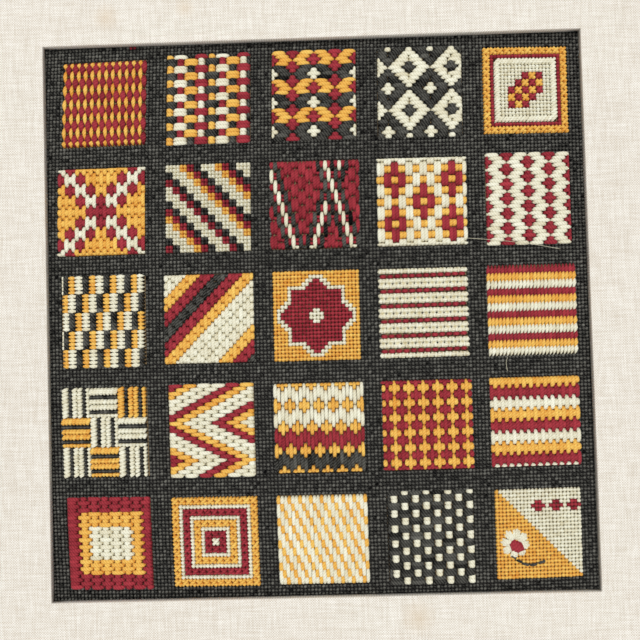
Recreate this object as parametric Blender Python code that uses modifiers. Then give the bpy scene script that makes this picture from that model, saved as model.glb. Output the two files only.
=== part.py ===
"""Needlepoint canvas panel in a linen-covered mat.

A canvas stitched in wool lies face up in the rabbet of a flat mat. The stitched face holds a
grid of counted squares on a dark ground. Each square stands a little proud of the ground and
carries the main ribs of its own stitch pattern.

Metres, +Z up out of the stitched face, +Y towards the top of the design, origin at the centre
of the underside.
"""

import math

import bmesh
import bpy

# The grid of the design, in canvas threads.
SQUARES = 5
SQUARE_THREADS = 24
STRIP_THREADS = 6
BORDER_THREADS = 8
PERIOD_THREADS = SQUARE_THREADS + STRIP_THREADS
DESIGN_THREADS = SQUARES * SQUARE_THREADS + (SQUARES - 1) * STRIP_THREADS

# Pitch of the canvas threads: 12 to the inch, pulled a little longer than wide.
THREAD_X = 0.00208
THREAD_Y = 0.00216

# The stitched rows lean and bow sideways where the canvas was stretched, and its corners are
# drawn in: the share by which a point moves in, for each square metre of its distance squared.
LEAN = 0.00094
BOW = 0.0016
BOW_SHIFT = -0.0005
DRAW_IN = 0.45

# The canvas sheet: a bare margin round the stitched ground.
MARGIN = 0.012
MARGIN_THICKNESS = 0.001
GROUND_TOP = 0.002
SQUARE_TOP = 0.0024
RIB_HEIGHT = 0.00035
FIELD_UNDERSIDE = 0.0005
SHOULDER_THREADS = 0.8
RIB_STEP_THREADS = 3

# The stitched flower in the last square: a ring of petals, in threads.
FLOWER_SQUARE = (4, 4)
FLOWER_CENTRE = (5.2, 14.6)
FLOWER_RADIUS = 4.4
FLOWER_HEIGHT = 0.0006

# The mat: a window that shows about three threads of ground round the squares.
WINDOW_WIDTH = 0.3110
WINDOW_HEIGHT = 0.3200
MAT_BORDER = 0.0508
MAT_TOP = 0.0055
RABBET_CLEARANCE = 0.0015
LIP_GAP = 0.0003
MAT_EDGE_RADIUS = 0.0006
MAT_EDGE_SEGMENTS = 2
CUT_OVERRUN = 0.004

# The design sits this much below the middle of the window.
DESIGN_DROP = 0.0005

# Colour and roughness of the dark ground wool and of the natural linen.
WOOL = ((0.06, 0.055, 0.05), 0.95)
LINEN = ((0.80, 0.76, 0.68), 0.9)

FIELD_WIDTH = (DESIGN_THREADS + 2 * BORDER_THREADS) * THREAD_X
FIELD_HEIGHT = (DESIGN_THREADS + 2 * BORDER_THREADS) * THREAD_Y
CANVAS_WIDTH = FIELD_WIDTH + 2 * MARGIN
CANVAS_HEIGHT = FIELD_HEIGHT + 2 * MARGIN
MAT_WIDTH = WINDOW_WIDTH + 2 * MAT_BORDER
MAT_HEIGHT = WINDOW_HEIGHT + 2 * MAT_BORDER

# The ribs of each square, by rows from the top: the way they run and their pitch in threads.
RIBS = (
    (("columns", 6), ("rows", 6), ("rows", 8), ("lozenges", 12), ("frames", 8)),
    (("saltire", 8), ("falling", 10), ("saltire", 12), ("lozenges", 8), ("columns", 12)),
    (("rising", 8), ("rising", 9), ("frames", 12), ("rows", 6), ("rows", 8)),
    (("blocks", 8), ("chevrons", 8), ("rows", 7), ("blocks", 6), ("rows", 6)),
    (("frames", 8), ("frames", 7), ("falling", 6), ("columns", 6), ("plain", 24)),
)


def new_collection(name):
    """A collection linked to the scene."""
    collection = bpy.data.collections.new(name)
    bpy.context.scene.collection.children.link(collection)
    return collection


def new_material(name, colour, roughness):
    """A plain Principled material."""
    material = bpy.data.materials.new(name)
    material.use_nodes = True
    shader = material.node_tree.nodes["Principled BSDF"]
    shader.inputs["Base Color"].default_value = (*colour, 1.0)
    shader.inputs["Roughness"].default_value = roughness
    shader.inputs["Metallic"].default_value = 0.0
    return material


def new_object(name, bm, collection):
    """An object made from a bmesh, which is freed."""
    mesh = bpy.data.meshes.new(name)
    bm.to_mesh(mesh)
    bm.free()
    item = bpy.data.objects.new(name, mesh)
    collection.objects.link(item)
    return item


def box_mesh(width, height, low, high, shift_y=0.0):
    """A bmesh box centred in X, with its size baked into the mesh."""
    bm = bmesh.new()
    bmesh.ops.create_cube(bm, size=1.0)
    for vert in bm.verts:
        vert.co.x *= width
        vert.co.y = vert.co.y * height + shift_y
        vert.co.z = low + (vert.co.z + 0.5) * (high - low)
    return bm


def hide_tool(item):
    """Marks an object as one that only shapes another."""
    item.hide_render = True
    item.display_type = "WIRE"


def add_boolean(item, operation, tool):
    """An exact Boolean of a second object on the first."""
    modifier = item.modifiers.new(tool.name, "BOOLEAN")
    modifier.operation = operation
    modifier.solver = "EXACT"
    modifier.object = tool


def square_lines():
    """Grid lines across one square, in threads: a shoulder at each edge and even steps between."""
    inner = range(RIB_STEP_THREADS, SQUARE_THREADS, RIB_STEP_THREADS)
    return [0.0, SHOULDER_THREADS, *inner, SQUARE_THREADS - SHOULDER_THREADS, float(SQUARE_THREADS)]


def field_lines():
    """Grid lines across the stitched field, in threads from the first square's edge."""
    lines = [-float(BORDER_THREADS)]
    for index in range(SQUARES):
        lines.extend(index * PERIOD_THREADS + line for line in square_lines())
    lines.append(float(DESIGN_THREADS + BORDER_THREADS))
    return lines


def on_canvas(across, down):
    """Place on the stretched canvas of a point given in threads from the top left square."""
    middle = DESIGN_THREADS / 2
    up = (middle - down) / middle
    x = (across - middle) * THREAD_X + LEAN * up + BOW * up * up + BOW_SHIFT
    y = (middle - down) * THREAD_Y
    keep = 1 - DRAW_IN * (x * x + y * y)
    return x * keep, y * keep - DESIGN_DROP


def rib(kind, pitch, s, t):
    """Height of a square's ribs, from 0 to 1, at s threads across and t down from its corner."""
    half = SQUARE_THREADS / 2
    dx = abs(s - half)
    dy = abs(t - half)

    def wave(phase):
        return 0.5 + 0.5 * math.cos(2 * math.pi * phase / pitch)

    if kind == "columns":
        return wave(dx)
    if kind == "rows":
        return wave(dy)
    if kind == "falling":
        return wave(s - t)
    if kind == "rising":
        return wave(s + t)
    if kind == "frames":
        return wave(max(dx, dy))
    if kind == "lozenges":
        return wave(dx + dy)
    if kind == "saltire":
        return max(wave(s - t), wave(s + t))
    if kind == "chevrons":
        return wave(s + dy)
    if kind == "blocks":
        return wave(dx) * wave(dy)
    return 0.0


def petals(s, t):
    """Height of the stitched flower, from 0 to 1, at s threads across and t down."""
    distance = math.hypot(s - FLOWER_CENTRE[0], t - FLOWER_CENTRE[1])
    return max(0.0, 1.0 - distance / FLOWER_RADIUS)


def stitched_height(across, down):
    """Height of the stitched face at a point given in threads."""
    column = int(across // PERIOD_THREADS)
    row = int(down // PERIOD_THREADS)
    s = across - column * PERIOD_THREADS
    t = down - row * PERIOD_THREADS
    inside_grid = 0 <= column < SQUARES and 0 <= row < SQUARES
    inside_square = 0 < s < SQUARE_THREADS and 0 < t < SQUARE_THREADS
    if not (inside_grid and inside_square):
        return GROUND_TOP
    kind, pitch = RIBS[row][column]
    height = SQUARE_TOP + RIB_HEIGHT * rib(kind, pitch, s, t)
    if (row, column) == FLOWER_SQUARE:
        height += FLOWER_HEIGHT * petals(s, t)
    return height


def make_stitched_field(collection):
    """The stitched part of the canvas: a grid raised point by point and closed underneath."""
    lines = field_lines()
    segments = len(lines) - 1
    bm = bmesh.new()
    bmesh.ops.create_grid(bm, x_segments=segments, y_segments=segments, size=1.0)
    for vert in bm.verts:
        across = lines[round((vert.co.x + 1.0) / 2.0 * segments)]
        down = lines[round((1.0 - vert.co.y) / 2.0 * segments)]
        x, y = on_canvas(across, down)
        vert.co = (x, y, stitched_height(across, down))
    top = list(bm.faces)
    lower = bmesh.ops.extrude_face_region(bm, geom=top, use_keep_orig=True)
    for item in lower["geom"]:
        if isinstance(item, bmesh.types.BMVert):
            item.co.z = FIELD_UNDERSIDE
    bmesh.ops.recalc_face_normals(bm, faces=bm.faces)
    field = new_object("stitched_field", bm, collection)
    hide_tool(field)
    return field


def make_canvas(parts, tools):
    """The canvas: a bare sheet, whose margin lies under the mat, joined to the stitched field."""
    sheet = box_mesh(CANVAS_WIDTH, CANVAS_HEIGHT, 0.0, MARGIN_THICKNESS, -DESIGN_DROP)
    canvas = new_object("needlepoint_canvas", sheet, parts)
    add_boolean(canvas, "UNION", make_stitched_field(tools))
    canvas.data.materials.append(new_material("wool_stitches", *WOOL))
    return canvas


def make_mat(parts, tools):
    """The mat: a board with a window and a rabbet under its inner edge for the canvas."""
    board = box_mesh(MAT_WIDTH, MAT_HEIGHT, 0.0, MAT_TOP)
    mat = new_object("linen_mat", board, parts)
    window = box_mesh(WINDOW_WIDTH, WINDOW_HEIGHT, -CUT_OVERRUN, MAT_TOP + CUT_OVERRUN)
    window_tool = new_object("window_tool", window, tools)
    rabbet_width = CANVAS_WIDTH + 2 * RABBET_CLEARANCE
    rabbet_height = CANVAS_HEIGHT + 2 * (RABBET_CLEARANCE + DESIGN_DROP)
    rabbet = box_mesh(rabbet_width, rabbet_height, -CUT_OVERRUN, GROUND_TOP + LIP_GAP)
    rabbet_tool = new_object("rabbet_tool", rabbet, tools)
    for tool in (window_tool, rabbet_tool):
        hide_tool(tool)
        add_boolean(mat, "DIFFERENCE", tool)
    bevel = mat.modifiers.new("edges", "BEVEL")
    bevel.width = MAT_EDGE_RADIUS
    bevel.segments = MAT_EDGE_SEGMENTS
    bevel.limit_method = "ANGLE"
    bevel.use_clamp_overlap = True
    mat.data.materials.append(new_material("linen", *LINEN))
    return mat


for old in list(bpy.data.objects):
    bpy.data.objects.remove(old, do_unlink=True)

parts_collection = new_collection("needlepoint_panel")
tools_collection = new_collection("shaping_tools")
make_canvas(parts_collection, tools_collection)
make_mat(parts_collection, tools_collection)
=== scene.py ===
"""Needlepoint panel in a linen-covered mat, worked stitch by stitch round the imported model."""
import math

import bpy
import numpy as np
from mathutils import Matrix, Vector


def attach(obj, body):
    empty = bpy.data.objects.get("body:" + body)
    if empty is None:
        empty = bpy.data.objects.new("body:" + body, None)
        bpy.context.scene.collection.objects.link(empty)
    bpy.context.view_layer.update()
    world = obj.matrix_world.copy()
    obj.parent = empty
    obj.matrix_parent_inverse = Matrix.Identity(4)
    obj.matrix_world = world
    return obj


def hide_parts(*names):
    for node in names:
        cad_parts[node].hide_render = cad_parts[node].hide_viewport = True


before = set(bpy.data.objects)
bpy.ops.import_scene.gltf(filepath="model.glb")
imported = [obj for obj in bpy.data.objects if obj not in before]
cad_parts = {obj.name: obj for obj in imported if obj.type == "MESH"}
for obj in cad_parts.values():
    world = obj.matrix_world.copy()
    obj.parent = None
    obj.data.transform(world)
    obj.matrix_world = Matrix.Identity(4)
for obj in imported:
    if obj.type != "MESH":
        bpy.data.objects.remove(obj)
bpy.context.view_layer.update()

# Canvas.
# One piece of 12-mesh cotton canvas, pulled straight and held under the mat. Its stitched part
# leans, bows and is drawn in at the corners as worked canvas is. The cut margin stays bare.

# The design in threads: the squares, the strips between them, and the ground beyond.
SQUARES = 5
SQUARE = 24
STRIP = 6
PERIOD = SQUARE + STRIP
DESIGN = SQUARES * PERIOD - STRIP
BORDER = 8

# From thread to thread across, down, and for what runs both ways.
THREAD_X = 0.00208
THREAD_Y = 0.00216
THREAD = 0.00212

# How far the rows lean and bow sideways, the share by which a point is drawn in for each square
# metre of its distance squared, and how far the design sits below the middle of the window.
LEAN = 0.00094
BOW = 0.0016
BOW_SHIFT = -0.0005
DRAW_IN = 0.45
DESIGN_DROP = 0.0005

# The bare margin, the sheet's thickness, and its cut size.
MARGIN = 0.012
CANVAS_TOP = 0.00085
CANVAS_WIDTH = (DESIGN + 2 * BORDER) * THREAD_X + 2 * MARGIN
CANVAS_HEIGHT = (DESIGN + 2 * BORDER) * THREAD_Y + 2 * MARGIN


def on_canvas(across, down):
    """Threads to metres: even pitch, a lean and a bow sideways, drawn in with distance squared."""
    up = (DESIGN / 2 - down) / (DESIGN / 2)
    x = (across - DESIGN / 2) * THREAD_X + LEAN * up + BOW * up * up + BOW_SHIFT
    y = (DESIGN / 2 - down) * THREAD_Y
    keep = 1 - DRAW_IN * (x * x + y * y)
    return x * keep, y * keep - DESIGN_DROP


def in_square(column, row):
    """Whether each cell of the canvas, at a column and row, lies in one of the squares."""
    inside = (column % PERIOD < SQUARE) & (column >= 0) & (column < DESIGN)
    return inside & (row % PERIOD < SQUARE) & (row >= 0) & (row < DESIGN)


def new_piece(name, points, faces, uv, materials, choice=None, tone=None):
    """A smooth mesh from points (n, 3), arrays of faces, and a UV pair for each face corner.
    Choice is the material of each face, and tone how much lighter the yarn is at each point,
    with the painted shade at the stitches' ends in it."""
    mesh = bpy.data.meshes.new(name)
    corners = np.concatenate([part.ravel() for part in faces]).astype(np.int32)
    totals = np.concatenate([np.full(len(part), part.shape[1]) for part in faces])
    starts = np.concatenate([[0], np.cumsum(totals)[:-1]]).astype(np.int32)
    mesh.vertices.add(len(points))
    mesh.vertices.foreach_set("co", np.asarray(points, dtype=np.float32).ravel())
    mesh.loops.add(len(corners))
    mesh.loops.foreach_set("vertex_index", corners)
    mesh.polygons.add(len(totals))
    mesh.polygons.foreach_set("loop_start", starts)
    mesh.polygons.foreach_set("use_smooth", np.ones(len(totals), dtype=bool))
    layer = mesh.uv_layers.new(name="thread")
    layer.data.foreach_set("uv", np.asarray(uv, dtype=np.float32).ravel())
    for material in materials:
        mesh.materials.append(material)
    if choice is not None:
        mesh.polygons.foreach_set("material_index", np.asarray(choice, dtype=np.int32))
    if tone is not None:
        shade = mesh.attributes.new("tone", "FLOAT", "POINT")
        shade.data.foreach_set("value", np.asarray(tone, dtype=np.float32))
    mesh.update(calc_edges=True)
    mesh.validate()
    piece = bpy.data.objects.new(name, mesh)
    bpy.context.scene.collection.objects.link(piece)
    return piece


def linear(code):
    """An sRGB hex colour as linear red, green and blue with alpha 1."""
    channels = [int(code[k : k + 2], 16) / 255 for k in (0, 2, 4)]
    curve = [c / 12.92 if c <= 0.04045 else ((c + 0.055) / 1.055) ** 2.4 for c in channels]
    return (*curve, 1.0)


def add(tree, kind, settings=None, links=None):
    """A shader node with its settings; links gives each input a value or another node's output."""
    made = tree.nodes.new("ShaderNode" + kind)
    for key, value in (settings or {}).items():
        setattr(made, key, value)
    for key, value in (links or {}).items():
        if isinstance(value, bpy.types.NodeSocket):
            tree.links.new(value, made.inputs[key])
        else:
            made.inputs[key].default_value = value
    return made


def new_material(name, **sockets):
    """A Principled material: its tree and its shader, with the plain sockets set."""
    material = bpy.data.materials.new(name)
    material.use_nodes = True
    shader = material.node_tree.nodes["Principled BSDF"]
    for key, value in sockets.items():
        shader.inputs[key.replace("_", " ")].default_value = value
    return material, material.node_tree, shader


def cotton_canvas():
    """Stiffened cotton canvas, woven of round threads 2.1 mm apart: matt. Its tan threads are
    darker than bare canvas and the spaces between them darker still: painted shade, for canvas
    seen deep in the holes between the stitches.
    """
    material, tree, shader = new_material("cotton_canvas", Roughness=0.9, IOR=1.5)
    place = add(tree, "TexCoord")
    per_metre = 2 * math.pi / THREAD
    spread = add(
        tree, "VectorMath", {"operation": "SCALE"}, {0: place.outputs["Object"], 3: per_metre}
    )
    parts = add(tree, "SeparateXYZ", links={0: spread.outputs[0]})
    warp = add(tree, "Math", {"operation": "COSINE"}, {0: parts.outputs[0]})
    weft = add(tree, "Math", {"operation": "COSINE"}, {0: parts.outputs[1]})
    weave = add(tree, "Math", {"operation": "MAXIMUM"}, {0: warp.outputs[0], 1: weft.outputs[0]})
    # Painted shade: the dark colour sits between the threads, where the open holes would be.
    ramp = add(tree, "MapRange", links={0: weave.outputs[0], 1: -0.2, 2: 0.7})
    colour = add(tree, "Mix", {"data_type": "RGBA"}, {0: ramp.outputs[0]})
    colour.inputs[6].default_value = linear("2E2212")
    colour.inputs[7].default_value = linear("86704E")
    bump = add(tree, "Bump", links={"Strength": 0.8, "Distance": 0.0003})
    tree.links.new(weave.outputs[0], bump.inputs["Height"])
    tree.links.new(colour.outputs[2], shader.inputs["Base Color"])
    tree.links.new(bump.outputs[0], shader.inputs["Normal"])
    return material


def wool_backs_and_hole_shade():
    """The underside of the stitches: charcoal wool carried from row to row in slanting lengths,
    each about 1.6 mm wide and 8 mm long. On the top of the canvas under the ground it is painted
    shade: a dark sheet for the shade in the holes between the stitches."""
    wide, long, slant = 0.0016, 0.008, math.radians(-62)
    material, tree, shader = new_material("wool_backs_and_hole_shade", Roughness=0.95, IOR=1.55)
    place = add(tree, "TexCoord")
    turn = add(tree, "Mapping", links={0: place.outputs["Object"]})
    turn.inputs["Rotation"].default_value = (0, 0, slant)
    turn.inputs["Scale"].default_value = (1 / wide, 1 / long, 1)
    slants = add(tree, "TexNoise", {"noise_dimensions": "3D"}, {"Vector": turn.outputs[0]})
    slants.inputs["Scale"].default_value = 1.0
    slants.inputs["Detail"].default_value = 3.0
    # Dark enough to stand as painted shade where it shows through the ground's holes.
    colour = add(tree, "Mix", {"data_type": "RGBA"}, {0: slants.outputs[0]})
    colour.inputs[6].default_value = linear("0A0908")
    colour.inputs[7].default_value = linear("2C2A27")
    bump = add(tree, "Bump", links={"Strength": 0.9, "Distance": 0.0006})
    tree.links.new(slants.outputs[0], bump.inputs["Height"])
    tree.links.new(colour.outputs[2], shader.inputs["Base Color"])
    tree.links.new(bump.outputs[0], shader.inputs["Normal"])
    return material


def sheet_surface(step=2):
    """A flat sheet as two grids, upper and lower, joined by a strip round the edge. Its lines
    follow every second thread of the stitched part, then the straight cut edge."""
    threads = np.pad(np.arange(-BORDER, DESIGN + BORDER + 1, step), 1, "edge")
    i, j = np.meshgrid(threads, threads[::-1], indexing="ij")
    x, y = on_canvas(i, j)
    x[0], x[-1] = -CANVAS_WIDTH / 2, CANVAS_WIDTH / 2
    y[:, 0], y[:, -1] = -CANVAS_HEIGHT / 2 - DESIGN_DROP, CANVAS_HEIGHT / 2 - DESIGN_DROP
    upper = np.stack([x, y, np.full_like(x, CANVAS_TOP)], axis=-1).reshape(-1, 3)
    lower = np.stack([x, y, np.zeros_like(x)], axis=-1).reshape(-1, 3)
    index = np.arange(x.size).reshape(x.shape)
    square = np.stack([index[:-1, :-1], index[1:, :-1], index[1:, 1:], index[:-1, 1:]], axis=-1)
    top = square.reshape(-1, 4)
    under = top[:, ::-1] + index.size
    loop = np.concatenate([index[:-1, 0], index[-1, :-1], index[:0:-1, -1], index[0, :0:-1]])
    after = np.roll(loop, -1)
    edge = np.stack([loop, loop + index.size, after + index.size, after], axis=-1)
    # Bare canvas shows in the margin and, above, between the stitches of the squares. Under the
    # ground the top is the dark wool backs: painted shade for the holes between its stitches.
    margin = np.zeros(index.shape, dtype=bool)[:-1, :-1]
    margin[[0, -1]] = margin[:, [0, -1]] = True
    bare_above = margin | in_square(i[:-1, :-1], j[:-1, 1:])
    bare = [bare_above.ravel(), margin.ravel(), np.ones(len(edge), dtype=bool)]
    return np.concatenate([upper, lower]), [top, under, edge], ~np.concatenate(bare)


canvas_points, canvas_faces, canvas_choice = sheet_surface()
canvas_corners = np.concatenate([part.ravel() for part in canvas_faces])
canvas = new_piece(
    "canvas_cloth",
    canvas_points,
    canvas_faces,
    canvas_points[canvas_corners][:, :2],
    [cotton_canvas(), wool_backs_and_hole_shade()],
    choice=canvas_choice,
)
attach(canvas, "root")
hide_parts("needlepoint_canvas")

# Ground.
# The dark strips and border: plied wool in tent stitch, one short slanting stitch over each
# crossing of the canvas, from the hole at the lower left to the one at the upper right.

# The mat's window, and how far the ground is worked on under its edge.
WINDOW_WIDTH = 0.3110
WINDOW_HEIGHT = 0.3200
UNDER_LIP = 0.003

# How thick the stitches are, and how high their crests are over the table.
GROUND_CREST = 0.00195
TENT_THICK = 0.00105
TENT_CREST = 0.0024
LONG_THICK = 0.00125
LONG_CREST = 0.0027

# A stitch under this length in threads is a short one.
SHORT_LENGTH = 1.8

# How stitches go down: the share of their width at the ends, the powers by which they taper and
# sink, and how much painted shade darkens them towards their holes.
BLUNT = (0.6, 0.4, 4, 0.32)
GROUND_TAPER = (0.25, 0.6, 3, 1.0)

# How unevenly they are worked: their ends in threads, width as a share, tone, crest, and sway.
END_SCATTER = 0.035
WIDTH_SCATTER = 0.04
TONE_SCATTER = 0.1
CREST_SCATTER = 0.00004
SWAY = 0.00005

# The yarns: their letters in the charts, and their places in WOOLS.
YARNS = "KGMC"
CHARCOAL, GOLD, MAROON, CREAM = range(4)


def plied_wool(name, light, dark, seed):
    """Three-ply tapestry wool: rounded plies with painted shade in the lines between them,
    heathered, hairy and matt.
    """
    material, tree, shader = new_material(
        name,
        Roughness=0.92,
        IOR=1.55,
        Sheen_Weight=0.02,
        Specular_IOR_Level=0.06,
        Sheen_Roughness=0.5,
    )
    thread = add(tree, "UVMap", {"uv_map": "thread"})
    parts = add(tree, "SeparateXYZ", links={0: thread.outputs[0]})
    # The UV runs along the yarn in millimetres and once round it. One ply comes up every 1.7 mm.
    plies, rise = 3, 1.7
    twist = add(tree, "Math", {"operation": "MULTIPLY"})
    tree.links.new(parts.outputs[0], twist.inputs[0])
    twist.inputs[1].default_value = -math.pi / rise
    around = add(tree, "Math", {"operation": "MULTIPLY_ADD"})
    tree.links.new(parts.outputs[1], around.inputs[0])
    around.inputs[1].default_value = plies * math.pi
    tree.links.new(twist.outputs[0], around.inputs[2])
    wave = add(tree, "Math", {"operation": "SINE"}, {0: around.outputs[0]})
    ply = add(tree, "Math", {"operation": "ABSOLUTE"}, {0: wave.outputs[0]})
    place = add(tree, "TexCoord")
    # Wool fibres are 0.03 mm across: tufts of 0.5 mm are drawn instead, so that they show.
    tuft = 0.0005
    hair = add(tree, "TexNoise", links={"Vector": place.outputs["Object"], "Scale": 1 / tuft})
    hair.inputs["Detail"].default_value = 4.0
    hair.inputs["Roughness"].default_value = 0.65
    # The dye takes unevenly along a length of yarn, over some 6 mm.
    patch = 0.006
    dye = add(tree, "TexNoise", {"noise_dimensions": "4D"}, {"Vector": place.outputs["Object"]})
    dye.inputs["Scale"].default_value = 1 / patch
    dye.inputs["W"].default_value = seed
    # The tone holds the yarn's random tone and the painted shade at the stitches' ends.
    shade = add(tree, "Attribute", {"attribute_name": "tone"})
    mixed = add(tree, "Math", {"operation": "MULTIPLY_ADD"}, {0: hair.outputs[0], 1: 0.8})
    tree.links.new(shade.outputs["Fac"], mixed.inputs[2])
    # Painted shade: the yarn is darker in the grooves between the plies.
    groove = add(tree, "Math", {"operation": "MULTIPLY_ADD"}, {0: ply.outputs[0], 1: 0.42})
    tree.links.new(mixed.outputs[0], groove.inputs[2])
    uneven = add(tree, "Math", {"operation": "MULTIPLY_ADD"}, {0: dye.outputs[0], 1: 0.4})
    tree.links.new(groove.outputs[0], uneven.inputs[2])
    level = add(tree, "MapRange", links={0: uneven.outputs[0], 1: 0.24, 2: 1.24})
    colour = add(tree, "Mix", {"data_type": "RGBA"}, {0: level.outputs[0]})
    colour.inputs[6].default_value = linear(dark)
    colour.inputs[7].default_value = linear(light)
    relief = add(tree, "Math", {"operation": "MULTIPLY_ADD"}, {0: ply.outputs[0], 1: 0.48})
    tree.links.new(hair.outputs[0], relief.inputs[2])
    bump = add(tree, "Bump", links={"Strength": 0.9, "Distance": 0.0004})
    tree.links.new(relief.outputs[0], bump.inputs["Height"])
    tree.links.new(colour.outputs[2], shader.inputs["Base Color"])
    tree.links.new(bump.outputs[0], shader.inputs["Normal"])
    return material


WOOLS = [
    plied_wool("charcoal_wool", "7C7B74", "060606", 1.0),
    plied_wool("gold_wool", "FFD670", "E08A28", 2.0),
    plied_wool("maroon_wool", "BA424C", "621820", 3.0),
    plied_wool("cream_wool", "FFFFEC", "D6CAA4", 4.0),
]


def tubes(start, end, width, thick, crest, sides, stations, taper, chance):
    """Stitches as tubes from hole to hole: an ellipse carried along an arch whose height is
    1 - |2u - 1|^sink. Its width grows from pinch at the ends with the sine of u to a power, and
    its thickness from under a half. Each end stops a little short of the middle of its hole."""
    hole_gap, most_gap_share, end_thick = 0.00008, 0.05, 0.45
    count = len(start)
    span = end - start
    length = np.linalg.norm(span, axis=1)
    ahead = span / length[:, None]
    left = np.stack([-ahead[:, 1], ahead[:, 0]], axis=1)
    u = np.asarray(stations)
    pinch, power, sink = taper[:3]
    swell = np.clip(np.sin(np.pi * u), 0, 1) ** power
    arch = 1 - np.abs(2 * u - 1) ** sink
    inset = np.minimum(hole_gap, most_gap_share * length)
    path = inset[:, None] + u * (length - 2 * inset)[:, None]
    stray = chance.normal(0, SWAY, count)[:, None] * np.sin(np.pi * u)
    wide = width[:, None] * (pinch + (1 - pinch) * swell) / 2
    high = thick[:, None] * (end_thick + (1 - end_thick) * swell) / 2
    centre_z = CANVAS_TOP + (crest - thick / 2 - CANVAS_TOP)[:, None] * arch
    angle = 2 * np.pi * (np.arange(sides) + 0.5) / sides
    side = stray[..., None] + wide[..., None] * np.cos(angle)
    flat = (
        start[:, None, None, :]
        + path[..., None, None] * ahead[:, None, None, :]
        + side[..., None] * left[:, None, None, :]
    )
    z = centre_z[..., None] + high[..., None] * np.sin(angle)
    points = np.concatenate([flat, z[..., None]], axis=-1).reshape(-1, 3)
    rings = len(u)
    index = np.arange(count * rings * sides).reshape(count, rings, sides)
    turned = np.roll(index, -1, axis=2)
    quads = np.stack(
        [index[:, :-1], turned[:, :-1], turned[:, 1:], index[:, 1:]], axis=-1
    ).reshape(-1, 4)
    caps = np.concatenate([index[:, 0, ::-1], index[:, -1, :]])
    millimetres = path * 1000
    turn = np.arange(sides) / sides
    near = np.broadcast_to(millimetres[:, :-1, None], (count, rings - 1, sides))
    far = np.broadcast_to(millimetres[:, 1:, None], near.shape)
    low = np.broadcast_to(turn, near.shape)
    high_turn = low + 1 / sides
    quad_uv = np.stack(
        [
            np.stack([near, low], axis=-1),
            np.stack([near, high_turn], axis=-1),
            np.stack([far, high_turn], axis=-1),
            np.stack([far, low], axis=-1),
        ],
        axis=3,
    ).reshape(-1, 2)
    cap_uv = np.zeros((caps.size, 2))
    # The last value, 1 - swell, is how much painted shade each ring takes towards the ends.
    return points, quads, caps, quad_uv, cap_uv, 1 - swell


def work(name, laid, seed, crest=None, fill=1.3, taper=BLUNT, loose=1.0):
    """A piece of stitches. Each row of laid is the two holes in threads, the yarn, the width in
    threads or 0 for the one that fills the canvas, and how far the stitch is lifted in metres.
    Crest is set for the ground alone, which is flatter and lighter. Looser work varies more."""
    in_a_square = crest is None
    plump, darker_charcoal, roundest = 1.2, 0.3, 0.9
    laid = np.asarray(laid, dtype=float)
    chance = np.random.default_rng(seed)
    holes = laid[:, :4] + chance.normal(0, END_SCATTER * loose, (len(laid), 4))
    start = np.stack(on_canvas(holes[:, 0], holes[:, 1]), axis=1)
    end = np.stack(on_canvas(holes[:, 2], holes[:, 3]), axis=1)
    reach = np.abs(laid[:, 2:4] - laid[:, 0:2])
    length = np.hypot(reach[:, 0], reach[:, 1])
    filling = fill * reach.max(axis=1) / length
    width = np.where(laid[:, 5] > 0, laid[:, 5], filling) * THREAD
    # Short stitches in the squares are plump enough to close over the canvas.
    short = length < SHORT_LENGTH
    width *= 1 + chance.normal(0, WIDTH_SCATTER * loose, len(laid))
    width *= np.where(short & in_a_square, plump, 1)
    yarn = laid[:, 4].astype(int)
    # The charcoal yarn of the squares is darker than the ground's.
    tone = chance.normal(0, TONE_SCATTER * loose, len(laid))
    tone -= darker_charcoal * ((yarn == CHARCOAL) & in_a_square)
    rise = chance.normal(0, CREST_SCATTER, len(laid)) + laid[:, 6]
    points, quads, caps, quad_uv, cap_uv, choice, cap_choice, tones_and_end_shade = ([] for _ in range(8))
    offset = 0
    # Short stitches, such as tent stitches, have fewer sides and rings than long ones.
    for group, thickest, highest, sides, stations in (
        (short, TENT_THICK, TENT_CREST, 5, (0.0, 0.28, 0.72, 1.0)),
        (~short, LONG_THICK, LONG_CREST, 6, (0.0, 0.07, 0.22, 0.5, 0.78, 0.93, 1.0)),
    ):
        if not group.any():
            continue
        thick = np.minimum(thickest, roundest * width[group])
        top = (crest or highest) + rise[group]
        made = tubes(
            start[group], end[group], width[group], thick, top, sides, stations, taper, chance
        )
        points.append(made[0])
        quads.append(made[1] + offset)
        caps.append(made[2] + offset)
        quad_uv.append(made[3])
        cap_uv.append(made[4])
        segments = (len(stations) - 1) * sides
        choice.append(np.repeat(yarn[group], segments))
        cap_choice.append(np.tile(yarn[group], 2))
        # Painted shade: each stitch darkens towards its holes by the taper's last value.
        shade = tone[group][:, None, None] - taper[3] * made[5][None, :, None]
        tones_and_end_shade.append(np.broadcast_to(shade, (*shade.shape[:2], sides)).ravel())
        offset += len(made[0])
    faces = [np.concatenate(quads), *caps]
    uv = np.concatenate([np.concatenate(quad_uv), *cap_uv])
    piece = new_piece(
        name,
        np.concatenate(points),
        faces,
        uv,
        WOOLS,
        choice=np.concatenate([*choice, *cap_choice]),
        tone=np.concatenate(tones_and_end_shade),
    )
    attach(piece, "root")
    return piece


def tent(i, j, yarn, short=0.03):
    """Tent stitches over the cells at column i and row j, short of the holes by a part."""
    i, j, yarn = (part.ravel().astype(float) for part in np.broadcast_arrays(i, j, yarn))
    none = np.zeros_like(i)
    ends = (i + short, j + 1 - short, i + 1 - short, j + short)
    return np.stack([*ends, yarn, none, none], axis=1)


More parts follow.
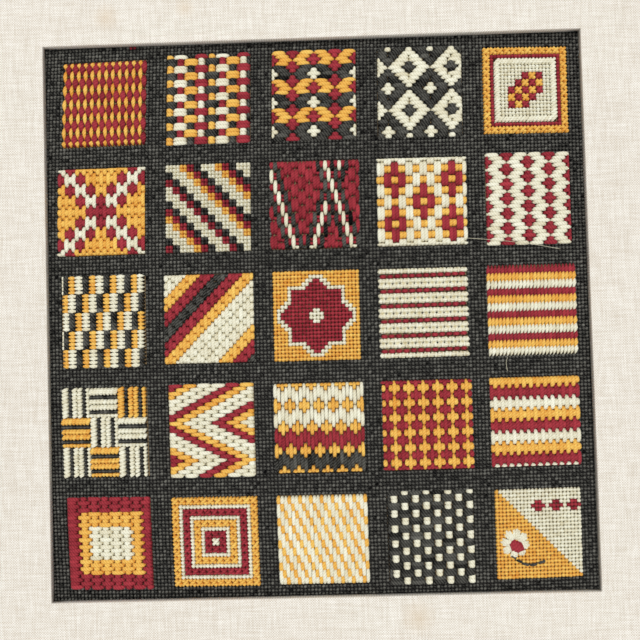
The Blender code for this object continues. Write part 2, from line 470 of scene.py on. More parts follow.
cells = np.arange(-BORDER, DESIGN + BORDER)
cell_i, cell_j = (part.ravel() for part in np.meshgrid(cells, cells, indexing="ij"))
cell_x, cell_y = on_canvas(cell_i + 0.5, cell_j + 0.5)
seen = np.abs(cell_x) < WINDOW_WIDTH / 2 + UNDER_LIP
seen &= np.abs(cell_y) < WINDOW_HEIGHT / 2 + UNDER_LIP
# Two stitches by the top edge were worked in maroon.
strayed = (cell_j == -4) & ((cell_i == 19) | (cell_i == 20))
stitch_pieces = []
for label, half in (("upper", cell_j < DESIGN // 2), ("lower", cell_j >= DESIGN // 2)):
    chosen = seen & half & ~in_square(cell_i, cell_j)
    ground = tent(
        cell_i[chosen],
        cell_j[chosen],
        np.where(strayed[chosen], MAROON, CHARCOAL),
        short=0.08,
    )
    piece = work(
        f"ground_{label}",
        ground,
        seed=len(stitch_pieces),
        crest=GROUND_CREST,
        fill=1.2,
        taper=GROUND_TAPER,
        loose=1.7,
    )
    stitch_pieces.append(piece)
    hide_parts("needlepoint_canvas")

# Squares in straight stitches.
# Counted patterns in long straight stitches, laid side by side so that the rows interlock, and
# one in small crosses. A line of a chart names yarns and the threads where their stitches start.

# A stitch that the square's edge would cut to under this length in threads is left out.
LEAST_LENGTH = 0.4


def straight(chart, upright=False):
    """Stitches of a chart: pairs of a line's place and its text, run across or upright."""
    found = []
    for line, text in chart:
        tokens = text.split()
        starts = [float(token[1:]) for token in tokens] + [float(SQUARE)]
        for k, token in enumerate(tokens):
            a = max(starts[k], 0.0)
            b = min(starts[k + 1], float(SQUARE))
            if b - a < LEAST_LENGTH:
                continue
            ends = (line, a, line, b) if upright else (a, line, b, line)
            found.append((*ends, YARNS.index(token[0]), 0, 0))
    return np.array(found, dtype=float)


def run(yarns, starts):
    """A chart line from a string of yarns and the threads where they start."""
    return " ".join(f"{yarn}{start}" for yarn, start in zip(yarns, starts))


# The lines that stitches run along, and the stitches of each square by its row and column. A
# stitch is its two ends across and down, its yarn, its width, and its lift.
lines = range(SQUARE + 1)
charts = {}

# Spindles of gold and maroon, half a stitch apart, with the maroon ones plumper.
spindles = ("G0 G2 G6 G10 G14 G18 G22", "M0 M4 M8 M12 M16 M20")
charts[0, 0] = straight([(x + 0.5, spindles[x % 2]) for x in range(SQUARE)], upright=True)
charts[0, 0][:, 5] = np.where(charts[0, 0][:, 4] == GOLD, 1.25, 1.8)

# Four colours in two rows out of step.
steps = ("G0 C2 K6 M8 G12 C14 K18 M20", "K0 M3 G5 C9 K11 M15 G17 C21 K23")
charts[0, 1] = straight([(y, steps[(y + 1) // 2 % 2]) for y in lines])

# Bands of gold and charcoal with maroon beads between.
beads = {
    0: "G0 M4 G8 G12 M16 G20",
    1: "M0 G1 M5 G7 M11 G13 M17 G19 M23",
    2: "M0 G2 G6 M10 G14 G18 M22",
    4: "K0 M4 K8 K12 M16 K20",
    5: "C0 K1 M5 K7 C11 K13 M17 K19 C23",
    6: "C0 K2 K6 C10 K14 K18 C22",
}
beads[3] = beads[1]
beads[7] = beads[5]
charts[0, 2] = straight([(y, beads[y % 8]) for y in range(SQUARE)] + [(SQUARE, beads[4])])


def lozenge_row(y):
    """One row of big cream lozenges with charcoal hearts, and small ones between them. Each has
    a middle, a half-width in threads, and a number of rows to which it reaches up and down."""
    row = ["K"] * SQUARE
    big = [(cx, cy) for cx in (-3, 9, 21) for cy in (5, 17, 29)]
    between = [(cx, cy) for cx in (3, 15) for cy in (-1, 11, 23)]
    lozenges = [(*middle, 6, 5, "C") for middle in big]
    lozenges += [(*middle, 2, 1, "K") for middle in big]
    lozenges += [(*middle, 2, 1, "C") for middle in between]
    for cx, cy, size, reach, yarn in lozenges:
        away = abs(y - cy)
        if away <= reach:
            for x in range(max(0, cx - size + away), min(SQUARE, cx + size - away)):
                row[x] = yarn
    text = []
    first = 0
    for x in range(1, SQUARE + 1):
        if x == SQUARE or row[x] != row[first]:
            # A run of six threads or more is worked as two stitches.
            pieces = 2 if x - first >= 6 else 1
            for part in range(pieces):
                text.append(f"{row[first]}{first + part * (x - first) // pieces}")
            first = x
    return " ".join(text)


charts[0, 3] = straight([(y, lozenge_row(y)) for y in lines])


def saltire_column(x):
    """One column of short and long stitches in cells of 3, with cream and maroon diagonals."""
    cell, cells_down, middle_cell = 3, 9, 4
    i = (x + 1) // cell
    text = []
    for j in range(cells_down):
        middle = x == cell * i
        half = 2 if middle == bool((i + j) % 2) else 1
        away = abs(abs(i - middle_cell) - abs(j - middle_cell))
        yarn = "C" if away == 0 else "M" if away == 1 else "G"
        if i == j == middle_cell:
            yarn = "M"
        text.append(f"{yarn}{cell * j - half}")
    return " ".join(text)


charts[1, 0] = straight([(x, saltire_column(x)) for x in lines], upright=True)


def crosses(x, y, yarn):
    """A block over two threads: four small crosses, each a slanting stitch with one over it."""
    width, under, over = 0.75, 0.0001, 0.0004
    thread = YARNS.index(yarn)
    found = []
    for a, b in ((x, y), (x + 1, y), (x, y + 1), (x + 1, y + 1)):
        found.append((a, b + 1, a + 1, b, thread, width, under))
        found.append((a, b, a + 1, b + 1, thread, width, over))
    return found


# Blocks of crosses in diagonal stripes: the stripes' yarns from the lower left corner on.
stairs = "MKCCGMKCCMKCCGMKCCGMKCC"
places = range(SQUARE // 2)
crossed = []
for i in places:
    for j in places:
        crossed += crosses(2 * i, 2 * j, stairs[i - j + len(places) - 1])
charts[1, 1] = np.array(crossed, dtype=float)


def cut_run(x, top, foot, yarn):
    """A run of one yarn as stitches over four threads: maroon in bricks two columns wide, each
    half a stitch lower or higher than the next, and the other yarns counted from the foot."""
    if yarn == "M":
        edges = [top, *(y for y in range(top + 1, foot) if (y + x // 2 * 2) % 4 == 0), foot]
    else:
        edges = [top, *range(foot - 4 * ((foot - top - 1) // 4), foot + 1, 4)]
    return list(zip(edges, edges[1:]))


def crossing_lines():
    """Cream lines that rise or fall three threads in each column. Above and below each cream
    stitch lie a short maroon one and a charcoal one, and the rest is maroon. The rising line has
    a single cream stitch past column 15."""
    cream_reach = ((0, 4),)
    charcoal_reach = ((-6, -2), (6, 10))
    found = []
    for x in lines:
        slopes = [(2 + 3 * x, True)] if x <= 10 else []
        slopes += [(56 - 3 * x, x <= 15 or x == 19)] if 9 <= x <= 22 else []
        slopes += [(3 * x - 46, True)] if x >= 12 else []
        marks = [(y, "K", charcoal_reach) for y, has_cream in slopes]
        marks += [(y, "C", cream_reach) for y, has_cream in slopes if has_cream]
        column = ["M"] * SQUARE
        for y, yarn, reach in marks:
            for a, b in reach:
                for place in range(max(y + a, 0), min(y + b, SQUARE)):
                    column[place] = yarn
        top = 0
        for foot in range(1, SQUARE + 1):
            if foot < SQUARE and column[foot] == column[top]:
                continue
            yarn = column[top]
            width, lift = {"C": (1.25, 0.0002), "K": (1.35, 0.0001), "M": (0, 0)}[yarn]
            for a, b in cut_run(x, top, foot, yarn):
                found.append((x, a, x, b, YARNS.index(yarn), width, lift))
            top = foot
    return np.array(found, dtype=float)


charts[1, 2] = crossing_lines()


def flower_column(x):
    """One of a pair of columns: gold beads on cream, and maroon petals round five of them."""
    k = x // 2
    starts = (0, 2, 4, 8, 10, 14, 16, 20, 22) if k % 2 else (0, 1, 5, 7, 11, 13, 17, 19, 23)
    yarns = list("CGCGCGCGC" if k % 2 else "CCGCGCGCC")
    for centre, y in ((2, 6), (10, 6), (6, 12), (2, 18), (10, 18)):
        petals = {centre: (y - 5, y + 1), centre - 1: (y - 2,), centre + 1: (y - 2,)}
        for start in petals.get(k, ()):
            yarns[starts.index(start)] = "M"
    return run(yarns, starts)


charts[1, 3] = straight([(x, flower_column(x)) for x in lines], upright=True)


def dot_row(y):
    """One row of maroon dots on cream, each next column of dots two rows lower."""
    h = (0, 1, 2, 1)[y % 4]
    g = 2 - h
    return f"M{-h} C{h} M{6 - g} C{6 + g} M{12 - h} C{12 + h} M{18 - g} C{18 + g} M{24 - h}"


charts[1, 4] = straight([(y, dot_row(y)) for y in lines])

# Bands of blocks two threads wide, each band five rows deep and a block further on. For each
# yarn: how far its stitches reach past the block on either side, their width, and their lift,
# by which the cream points overlap the charcoal.
block_stitches = (
    (CHARCOAL, 1.0, 0.6, 1.7, 0),
    (GOLD, 0.5, 0.8, 1.3, 0),
    (CREAM, 0.7, 1.0, 1.3, 0.0003),
)
# A stitch that the square's edge would cut to this length or under is left out.
least_block = 0.9
blocks = []
for y in lines:
    for k in range(-1, SQUARE // 2):
        yarn, before, after, width, lift = block_stitches[(k + y // 5) % 3]
        left, right = max(2 * k - before, 0), min(2 * k + 2 + after, SQUARE)
        if right - left > least_block:
            blocks.append((left, y, right, y, yarn, width, lift))
charts[2, 0] = np.array(blocks, dtype=float)

# Slanting stripes, worked over four threads in one column and over two in the next.
slants = "CCGMKMGCCCGMK"
slant_columns = []
for x in lines:
    if x % 2:
        slant_columns.append((x, run(slants, [4 * n - 2 - x for n in range(13)])))
    else:
        doubled = "".join(yarn * 2 for yarn in slants)
        slant_columns.append((x, run(doubled, [2 * n - 2 - x for n in range(26)])))
charts[2, 1] = straight(slant_columns, upright=True)

# Zigzags down the square, with a point at row 10 and a turn back at row 20.
zigzag_rows = []
for y in lines:
    shift = abs(y - 10) if y <= 20 else 30 - y
    zigzag_rows.append((y, run("GCCM" * 5, [2 * shift + 4 * n for n in range(-12, 8)])))
charts[3, 1] = straight(zigzag_rows)

# Interlocking bricks in bands of cream, gold, maroon and charcoal, in slimmer stitches.
brick = {
    0: "C0 G4 C8 M12 G16 K20",
    2: "G0 C2 C6 G10 M14 K18 G22",
    1: "G0 C1 G5 C7 G11 M13 G17 K19 G23",
}
brick[3] = brick[1]
charts[3, 2] = straight([(x, brick[x % 4]) for x in lines], upright=True)
charts[3, 2][:, 5] = 1.12

# Gold and maroon trellis.
trellis = {
    0: "M-1 G1 M3 G5 M7 G9 M11 G13 M15 G17 M19 G21 M23",
    1: "M0 M2 M6 M10 M14 M18 M22",
    3: "G0 G4 G8 G12 G16 G20",
}
trellis[2] = trellis[0]
charts[3, 3] = straight([(x, trellis[x % 4]) for x in lines], upright=True)

# Wide bands with toothed edges.
teeth = ("G0 M2 C6 G8 M12 C14 G18 M20", "G0 M3 C5 G9 M11 C15 G17 M21 C23")
charts[3, 4] = straight([(x, teeth[x % 2]) for x in lines], upright=True)

# Maroon square, gold square and cream heart with toothed sides.
nested = []
for y in lines:
    starts = (0, 3, 7, 9, 13, 15, 19, 21) if y % 2 else (0, 4, 6, 10, 12, 16, 18, 22)
    yarns = "MMMMMMMM" if y < 4 or y > 20 else "MGGGGGGM" if y < 8 or y > 16 else "MGCCCCGM"
    nested.append((y, run(yarns, starts)))
charts[4, 0] = straight(nested)

# Small gold blocks in slanting rows on cream.
twill = []
for x in lines:
    starts = [2 * (x % 3) + 6 * (n // 2) + 2 * (n % 2) for n in range(-2, 8)]
    twill.append((x, run("GC" * 5, starts)))
charts[4, 2] = straight(twill, upright=True)
# The ends of these stitches overlap.
overlap = 0.4
charts[4, 2][:, 1] = np.maximum(charts[4, 2][:, 1] - overlap, 0)
charts[4, 2][:, 3] = np.minimum(charts[4, 2][:, 3] + overlap, SQUARE)

# Cream checks on charcoal.
checks = ("K0 C4 K6 C10 K12 C16 K18 C22", "K0 C1 K3 C7 K9 C13 K15 C19 K21")
charts[4, 3] = straight([(y, checks[(y + 1) // 2 % 2]) for y in lines])

# Squares in slanting stitches.
# Small slanting stitches that cover the canvas like the ground's, larger ones over two threads
# for the frames, and fans of cream between couched maroon rows.
inner = np.arange(SQUARE)
inner_i, inner_j = (part.ravel() for part in np.meshgrid(inner, inner, indexing="ij"))
MIDDLE = (SQUARE - 1) / 2


def mosaic(x, y, yarn):
    """A block over two threads: a short slanting stitch, a long one and a short one."""
    ends = ((0, 1, 1, 0), (0, 2, 2, 0), (1, 2, 2, 1))
    return [(x + a, y + b, x + c, y + d, YARNS.index(yarn), 0, 0) for a, b, c, d in ends]


def ring(first, wide, yarn):
    """A square frame some threads in from the edge: blocks where it is two wide, and otherwise
    tent stitches."""
    last = SQUARE - first
    inside = first + wide
    found = []
    for x in range(first, last, wide):
        for y in range(first, last, wide):
            if inside <= x < SQUARE - inside and inside <= y < SQUARE - inside:
                continue
            if wide == 2:
                found += mosaic(x, y, yarn)
            else:
                found.append((x, y + 1, x + 1, y, YARNS.index(yarn), 0, 0))
    return np.array(found, dtype=float)


def framed_oblong():
    """Gold and maroon frames, a cream rim of slanting stitches over two threads, and a cream
    field with a slanting oblong of checked blocks."""
    near, far = 3, 19
    rim = []
    for k in range(near, far + 1):
        for first in (near, far):
            rim.append((first, k + 2, first + 2, k, CREAM, 0, 0))
            if near < k < far:
                rim.append((k, first + 2, k + 2, first, CREAM, 0, 0))
    corner = 7
    blocks = []
    taken = np.zeros((SQUARE, SQUARE), dtype=bool)
    for i in range(5):
        for j in range(5):
            if abs(i + j - 4) <= 2:
                x, y = corner + 2 * i, corner + 2 * j
                blocks += mosaic(x, y, "G" if (i + j) % 2 else "M")
                taken[x : x + 2, y : y + 2] = True
    in_field = np.maximum(abs(inner_i - MIDDLE), abs(inner_j - MIDDLE)) < 7
    plain = in_field & ~taken[inner_i, inner_j]
    cream = tent(inner_i[plain], inner_j[plain], CREAM)
    frames = [ring(0, 2, "G"), ring(2, 1, "M")]
    return np.concatenate([*frames, np.array(rim), np.array(blocks), cream])


charts[0, 4] = framed_oblong()

# An eight-pointed star, maroon with a cream edge and heart, on gold: a square and a lozenge
# laid over each other. These and the heart have their reach from the middle in threads.
star_square, star_lozenge, star_heart = 7, 10.5, 2.1
from_x = abs(inner - MIDDLE)[:, None]
from_y = from_x.T
star = (np.maximum(from_x, from_y) < star_square) | (from_x + from_y < star_lozenge)
grown = star.copy()
for shift in ((1, 0), (-1, 0), (0, 1), (0, -1), (1, 1), (-1, -1), (1, -1), (-1, 1)):
    grown |= np.roll(star, shift, axis=(0, 1))
maroon = star & (from_x + from_y > star_heart)
star_yarn = np.where(maroon, MAROON, np.where(grown, CREAM, GOLD))
charts[2, 2] = tent(inner_i, inner_j, star_yarn.ravel())


def fans():
    """Cream fans of two slanting legs between rows of maroon stitches over two threads. The
    maroon rows slope a little, and two rows of fans stand foot to foot between them."""
    found = []
    for y in range(2, SQUARE, 4):
        for x in range(0, SQUARE, 2):
            start = y + 0.2 - 0.4 * x / SQUARE
            found.append((x, start, x + 2, start - 0.03, MAROON, 1.15, -0.0002))
    height, past_edge = 1.35, 0.2
    feet = range(4, SQUARE, 4)
    rows = [(1.4, 0.1)] + [(foot, foot - height) for foot in feet]
    rows += [(foot, foot + height) for foot in feet] + [(22.6, 23.9)]
    for foot, apex in rows:
        for k in range(-1, SQUARE // 2):
            left, middle, right = 2 * k + 0.6, 2 * k + 1.6, 2 * k + 2.6
            for ax, ay, bx, by in ((left, foot, middle, apex), (middle, apex, right, foot)):
                if bx > 0 and ax < SQUARE:
                    ends = (max(ax, -past_edge), ay, min(bx, SQUARE + past_edge), by)
                    found.append((*ends, CREAM, 1.25, 0.0001))
    return np.array(found, dtype=float)


charts[2, 3] = fans()

# Bands over two threads, with the tips of each band over the next one.
bands = []
for n in range(SQUARE // 2):
    yarn, lift = ((MAROON, 0), (GOLD, 0.0001), (CREAM, 0.0002))[n % 3]
    foot, top = min(2 * n + 3.1, SQUARE + 0.5), max(2 * n - 0.9, -0.5)
    bands += [(x - 0.25, foot, x + 0.25, top, yarn, 1.2, lift) for x in lines]
charts[2, 4] = np.array(bands, dtype=float)


def striped_block(column, row):
    """One of nine blocks: slanting stitches over one to two threads in stripes, which run across
    and down by turns like a woven basket. Three blocks are gold and the rest cream."""
    block = 8
    main = GOLD if (column - row) % 3 == 2 else CREAM
    edges = (0, 2, 3, 4.5, 6, 7, block)
    yarns = (main, CHARCOAL, main, main, CHARCOAL, main)
    x, y = block * column, block * row
    found = []
    for a, b, yarn in zip(edges, edges[1:], yarns):
        for k in range(block):
            if (column + row) % 2:
                found.append((x + k, y + b, x + k + 1, y + a, yarn, 0, 0))
            else:
                found.append((x + a, y + k + 1, x + b, y + k, yarn, 0, 0))
    return found


basket = []
for column in range(3):
    for row in range(3):
        basket += striped_block(column, row)
charts[3, 0] = np.array(basket, dtype=float)

# Nested frames round a cream heart, each by its distance from the edge and its width.
nested_frames = (
    (0, 2, "G"),
    (2, 1, "C"),
    (3, 2, "M"),
    (5, 1, "C"),
    (6, 2, "G"),
    (8, 1, "C"),
    (9, 2, "M"),
)
charts[4, 1] = np.concatenate([*(ring(*laid) for laid in nested_frames), mosaic(11, 11, "C")])

# Cream and gold halves, with three small maroon lozenges in the cream one.
LOZENGES_X = (12, 17, 22)
LOZENGES_Y = 4.5
LOZENGE_REACH = 2.2
halves_yarn = np.where(inner_i > inner_j, CREAM, GOLD)
for lozenge_x in LOZENGES_X:
    away = abs(inner_i + 0.5 - lozenge_x) + abs(inner_j + 0.5 - LOZENGES_Y)
    halves_yarn = np.where(away < LOZENGE_REACH, MAROON, halves_yarn)
charts[4, 4] = tent(inner_i, inner_j, halves_yarn)

# How the stitches of some squares go down, with the same four values as BLUNT has.
TAPERED = {
    (0, 0): (0.15, 0.9, 2, 0.7),
    (1, 1): (0.2, 0.7, 3, 0.4),
    (1, 2): (0.35, 0.5, 3, 0.4),
    (1, 3): (0.5, 0.4, 4, 0.32),
    (2, 0): (0.05, 1.5, 6, 0.32),
    (2, 3): (0.45, 0.6, 3, 0.6),
    (2, 4): (0.05, 1.5, 2, 0.32),
    (3, 3): (0.4, 0.5, 4, 0.32),
    (4, 2): (0.3, 0.4, 4, 0.32),
}
# Three squares sit up to half a thread to the left of the grid.
NUDGED = {(1, 0): -0.45, (3, 0): -0.45, (2, 3): -0.25}
for (row, column), laid in charts.items():
    placed = laid.copy()
    placed[:, [0, 2]] += column * PERIOD + NUDGED.get((row, column), 0)
    placed[:, [1, 3]] += row * PERIOD
    taper = TAPERED.get((row, column), BLUNT)
    piece = work(
        f"square_{row + 1}_{column + 1}", placed, seed=100 + 10 * row + column, taper=taper
    )
    stitch_pieces.append(piece)
    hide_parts("needlepoint_canvas")

# Flower.
# A flower over the last square: loose cream petals worked outwards from the middle, a raised
# maroon heart in satin stitch, and a charcoal stem in a few stem stitches.
LAST_SQUARE = 4 * PERIOD
FLOWER_X = LAST_SQUARE + 5.2
FLOWER_Y = LAST_SQUARE + 14.4
PETALS = 8


def flower_stitches():
    """Petals of three stitches that spread from the middle, the last one over the other two, a
    heart of five parallel stitches that slant a little, and a curved stem."""
    near, turned, spread = 0.6, 8, 11
    found = []
    for petal in range(PETALS):
        for side, reach, lift in ((-1, 4.1, 0.0002), (1, 4.1, 0.0003), (0, 4.4, 0.0006)):
            turn = math.radians(360 / PETALS * petal + turned + spread * side)
            a = (FLOWER_X + near * math.cos(turn), FLOWER_Y + near * math.sin(turn))
            b = (FLOWER_X + reach * math.cos(turn), FLOWER_Y + reach * math.sin(turn))
            found.append((*a, *b, CREAM, 1.05, lift))
    for k in range(-2, 3):
        half = 2.1 - 0.3 * abs(k)
        slant = 0.35 * half
        x, y = FLOWER_X + 0.3 + 0.66 * k, FLOWER_Y + 0.8
        found.append((x - slant, y - half, x + slant, y + half, MAROON, 1.0, 0.0013))
    stem = [(3.8, 17.3), (5.3, 18.7), (7.0, 19.7), (9.0, 20.4), (11.2, 20.0), (13.5, 19.2)]
    for (ax, ay), (bx, by) in zip(stem, stem[1:]):
        a = (LAST_SQUARE + ax - 0.2, LAST_SQUARE + ay)
        b = (LAST_SQUARE + bx + 0.3, LAST_SQUARE + by)
        found.append((*a, *b, CHARCOAL, 0.75, 0.0003))
    return np.array(found, dtype=float)


flower = work("flower", flower_stitches(), seed=7)
stitch_pieces.append(flower)
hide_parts("needlepoint_canvas")

# Lint.
# Two loose pale hairs: one caught across the foot of the second square of the last column, and
# one on the ground below the third. Each is one fine fibre, which lies over the stitches.
HAIR_RADIUS = 0.0001


def loose_hair(path, lift, steps=16, sides=6):
    """A tube round a smooth path: for each of x and y a polynomial through the given places, which
    are in threads, with rings square to the slope of the path."""
    path = np.array(path, dtype=float)
    s = np.linspace(0, 1, len(path))
    t = np.linspace(0, 1, steps)
    i, j = (np.polyval(np.polyfit(s, path[:, k], len(path) - 1), t) for k in (0, 1))
    x, y = on_canvas(i, j)
    slope = np.stack([np.gradient(x), np.gradient(y)], axis=1)
    slope /= np.linalg.norm(slope, axis=1)[:, None]
    angle = 2 * np.pi * np.arange(sides) / sides
    across = HAIR_RADIUS * np.cos(angle)
    ring_x = x[:, None] - slope[:, 1:] * across
    ring_y = y[:, None] + slope[:, :1] * across
    ring_z = np.broadcast_to(lift + HAIR_RADIUS * np.sin(angle), ring_x.shape)
    points = np.stack([ring_x, ring_y, ring_z], axis=-1).reshape(-1, 3)
    index = np.arange(steps * sides).reshape(steps, sides)
    turned = np.roll(index, -1, axis=1)
    quads = np.stack([index[:-1], turned[:-1], turned[1:], index[1:]], axis=-1).reshape(-1, 4)
    return points, quads, [index[:1, ::-1], index[-1:]]


hair_points, hair_quads, hair_caps = [], [], []
for under, path in (
    (LONG_CREST, [(114.2, 52.4), (123.6, 53.3), (131.9, 54.4), (140.3, 56.0)]),
    (GROUND_CREST, [(124.8, 84.6), (124.3, 86.0), (124.6, 88.2)]),
):
    points, quads, caps = loose_hair(path, under + HAIR_RADIUS)
    offset = sum(map(len, hair_points))
    hair_points.append(points)
    hair_quads.append(quads + offset)
    hair_caps += [cap + offset for cap in caps]
hair_faces = [np.concatenate(hair_quads), *hair_caps]
hair_corners = sum(part.size for part in hair_faces)
lint = new_piece(
    "lint",
    np.concatenate(hair_points),
    hair_faces,
    np.zeros((hair_corners, 2)),
    [WOOLS[CREAM]],
)
stitch_pieces.append(lint)
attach(lint, "root")

# Mat.
# A board with a window, wrapped in natural plain-weave linen that is turned over its edges.
# The canvas lies in the rabbet under its inner edge.
MAT_BORDER = 0.0508
MAT_TOP = 0.0055
RABBET_TOP = 0.0023
RABBET_CLEARANCE = 0.0015
EDGE_RADIUS = 0.0005

# How far the linen's face settles to either side of its middle height, and the waves in which
# it does, in radians to the metre.
SETTLE = 0.00006
WAVES_X = 95
WAVES_Y = 83
WAVES_START = 1.3

# The middle and the reach of each stain.
STAINS = ((0.052, -0.172, 0.011), (-0.118, 0.176, 0.009), (-0.072, 0.18, 0.007))


def linen_cloth():
    """Natural linen in plain weave, 0.55 mm from thread to thread: off-white, slubbed and matt."""
    material, tree, shader = new_material(
        "natural_linen", Roughness=0.88, IOR=1.5, Sheen_Weight=0.1
    )
    place = add(tree, "TexCoord")
    # Slubs are 11 mm long and 0.7 mm across: so many to the metre along a thread and across it.
    along, across = 90, 1400
    directions = []
    for scale in ((along, across, across), (across, along, across)):
        stretch = add(tree, "Mapping", links={0: place.outputs["Object"]})
        stretch.inputs["Scale"].default_value = scale
        slub = add(tree, "TexNoise", links={"Vector": stretch.outputs[0]})
        slub.inputs["Scale"].default_value = 1.0
        slub.inputs["Detail"].default_value = 2.0
        directions.append(slub.outputs[0])
    slubs = add(tree, "Math", {"operation": "ADD"}, {0: directions[0], 1: directions[1]})
    # The real threads are 0.55 mm apart: they are drawn 0.72 mm apart, so that they show.
    per_metre = math.pi / 0.00072
    spread = add(
        tree, "VectorMath", {"operation": "SCALE"}, {0: place.outputs["Object"], 3: per_metre}
    )
    parts = add(tree, "SeparateXYZ", links={0: spread.outputs[0]})
    # Height is added to both directions, so that the weave turns down over the edges.
    waves = []
    for k in (0, 1):
        line = add(tree, "Math", links={0: parts.outputs[k], 1: parts.outputs[2]})
        waves.append(add(tree, "Math", {"operation": "SINE"}, {0: line.outputs[0]}))
    warp, weft = waves
    weave = add(tree, "Math", {"operation": "MULTIPLY"}, {0: warp.outputs[0], 1: weft.outputs[0]})
    height = add(tree, "Math", {"operation": "MULTIPLY_ADD"}, {0: weave.outputs[0], 1: 0.6})
    tree.links.new(slubs.outputs[0], height.inputs[2])
    # Partly painted shade: the weave's low places are coloured darker. The slubs are the linen's
    # own.
    level = add(tree, "MapRange", links={0: height.outputs[0], 1: 0.3, 2: 1.7})
    colour = add(tree, "Mix", {"data_type": "RGBA"}, {0: level.outputs[0]})
    colour.inputs[6].default_value = linear("C9BCA9")
    colour.inputs[7].default_value = linear("FFFDF6")
    # Three faint ochre stains, one or two centimetres across, strongest in the middle.
    strongest = 0.3
    stained = colour
    for x, y, reach in STAINS:
        away = add(tree, "VectorMath", {"operation": "DISTANCE"}, {0: place.outputs["Object"]})
        away.inputs[1].default_value = (x, y, MAT_TOP)
        faint = add(tree, "MapRange", links={0: away.outputs["Value"], 1: 0.0, 2: reach})
        faint.inputs[3].default_value = strongest
        faint.inputs[4].default_value = 0.0
        tint = add(tree, "Mix", {"data_type": "RGBA"}, {0: faint.outputs[0], 6: stained.outputs[2]})
        tint.inputs[7].default_value = linear("D2B07C")
        stained = tint
    bump = add(tree, "Bump", links={"Strength": 0.5, "Distance": 0.0003})
    tree.links.new(height.outputs[0], bump.inputs["Height"])
    tree.links.new(stained.outputs[2], shader.inputs["Base Color"])
    tree.links.new(bump.outputs[0], shader.inputs["Normal"])
    return material


def mat_profile():
    """Cross-section of the mat as half-width, half-height and height at each of its points: from
    the lip over round edges to the foot, then back along the rabbet."""
    turn = np.linspace(0, np.pi / 2, 5)
    r = EDGE_RADIUS
    lip = np.stack([r - r * np.cos(turn), MAT_TOP - r + r * np.sin(turn)], axis=1)
    run_out = np.linspace(2 * r, MAT_BORDER - 2 * r, 12)
    top = np.stack([run_out, np.full_like(run_out, MAT_TOP)], axis=1)
    outer = np.stack([MAT_BORDER - r + r * np.sin(turn), MAT_TOP - r + r * np.cos(turn)], axis=1)
    foot = np.stack([MAT_BORDER - r + r * np.cos(turn), r - r * np.sin(turn)], axis=1)
    shell = np.concatenate([[[0.0, RABBET_TOP]], lip, top, outer, foot])
    half_x = WINDOW_WIDTH / 2 + shell[:, 0]
    half_y = WINDOW_HEIGHT / 2 + shell[:, 0]
    rabbet_x = CANVAS_WIDTH / 2 + RABBET_CLEARANCE
    rabbet_y = CANVAS_HEIGHT / 2 + RABBET_CLEARANCE + DESIGN_DROP
    half_x = np.append(half_x, [rabbet_x, rabbet_x])
    half_y = np.append(half_y, [rabbet_y, rabbet_y])
    return half_x, half_y, np.append(shell[:, 1], [0.0, RABBET_TOP])


def mat_surface(steps=40):
    """The profile carried round a rectangle: each side is cut in even steps, corners mitred. The
    top rises and falls with the sines of x and y."""
    half_x, half_y, height = mat_profile()
    run_side = np.linspace(-1, 1, steps, endpoint=False)
    one = np.ones(steps)
    px = np.concatenate([run_side, one, -run_side, -one])
    py = np.concatenate([-one, run_side, one, -run_side])
    x = px[:, None] * half_x
    y = py[:, None] * half_y
    on_top = height > MAT_TOP - SETTLE
    settle = SETTLE * (np.sin(x * WAVES_X + WAVES_START) * np.sin(y * WAVES_Y) - 1) * on_top
    points = np.stack([x, y, height + settle], axis=-1)
    rounds, around = x.shape
    index = np.arange(rounds * around).reshape(rounds, around)
    ahead = np.roll(index, -1, axis=0)
    turned = np.roll(index, -1, axis=1)
    both = np.roll(ahead, -1, axis=1)
    quads = np.stack([index, ahead, both, turned], axis=-1).reshape(-1, 4)
    return points.reshape(-1, 3), quads


mat_points, mat_quads = mat_surface()
mat = new_piece(
    "mat_in_linen",
    mat_points,
    [mat_quads],
    mat_points[mat_quads.ravel()][:, :2],
    [linen_cloth()],
)
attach(mat, "root")
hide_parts("linen_mat")

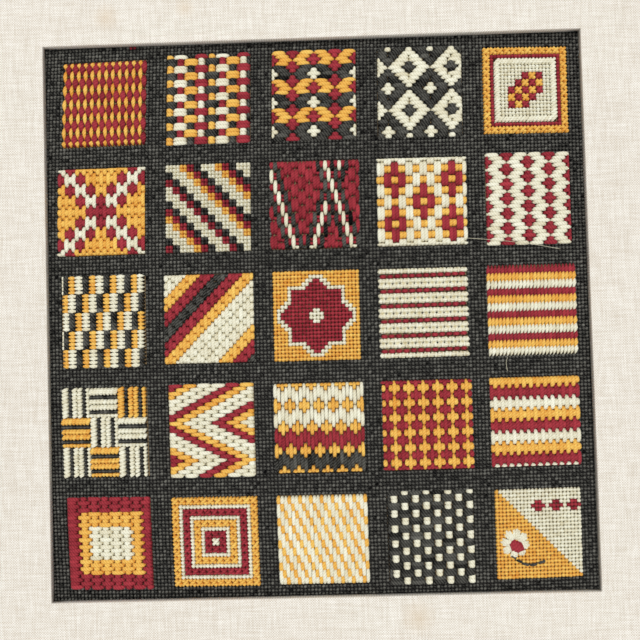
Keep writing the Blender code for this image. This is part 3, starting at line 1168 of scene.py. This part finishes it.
# Floor, light and camera.
# A plain pale floor and one broad soft light from beyond the top of the design, with a fill.
FLOOR_REACH = 2.0
corners = [(x, y, 0) for x, y in ((-1, -1), (1, -1), (1, 1), (-1, 1))]
floor_mesh = bpy.data.meshes.new("floor")
floor_mesh.from_pydata([FLOOR_REACH * Vector(corner) for corner in corners], [], [(0, 1, 2, 3)])
floor_material, _, floor_shader = new_material("matt_paper", Roughness=0.9)
floor_shader.inputs["Base Color"].default_value = linear("F0EEEA")
floor_mesh.materials.append(floor_material)
floor = bpy.data.objects.new("floor", floor_mesh)
bpy.context.scene.collection.objects.link(floor)

world = bpy.data.worlds.new("studio")
world.use_nodes = True
backdrop = world.node_tree.nodes["Background"]
backdrop.inputs["Color"].default_value = linear("F4F3F1")
backdrop.inputs["Strength"].default_value = 0.45
bpy.context.scene.world = world

# Each lamp's place, its power in watts and its side. It faces the origin.
LAMPS = (
    ("key", (-0.5, 2.0, 3.0), 74.0, 1.1),
    ("fill", (0.5, -1.8, 1.9), 26.0, 1.6),
)
for label, place, power, size in LAMPS:
    lamp = bpy.data.lights.new(label, "AREA")
    lamp.energy = power
    lamp.size = size
    holder = bpy.data.objects.new(label, lamp)
    holder.location = place
    holder.rotation_euler = Vector(place).to_track_quat("Z", "Y").to_euler()
    bpy.context.scene.collection.objects.link(holder)

# The camera's place, and how far the panel looks turned about X, Y and Z from there, in degrees.
# They give the photograph's view.
CAMERA_PLACE = (0.00483, -0.00908, 0.28933)
TURN_X, TURN_Y, TURN_Z = (math.radians(degrees) for degrees in (-1.162, -0.712, 1.589))
lens = bpy.data.cameras.new("camera")
lens.lens = 28.0
lens.sensor_width = 36.0
camera = bpy.data.objects.new("camera", lens)
turn = (
    Matrix.Rotation(TURN_X, 3, "X")
    @ Matrix.Rotation(TURN_Y, 3, "Y")
    @ Matrix.Rotation(TURN_Z, 3, "Z")
)
camera.matrix_world = Matrix.Translation(CAMERA_PLACE) @ turn.transposed().to_4x4()
bpy.context.scene.collection.objects.link(camera)
bpy.context.scene.camera = camera
bpy.context.scene.view_settings.view_transform = "Standard"

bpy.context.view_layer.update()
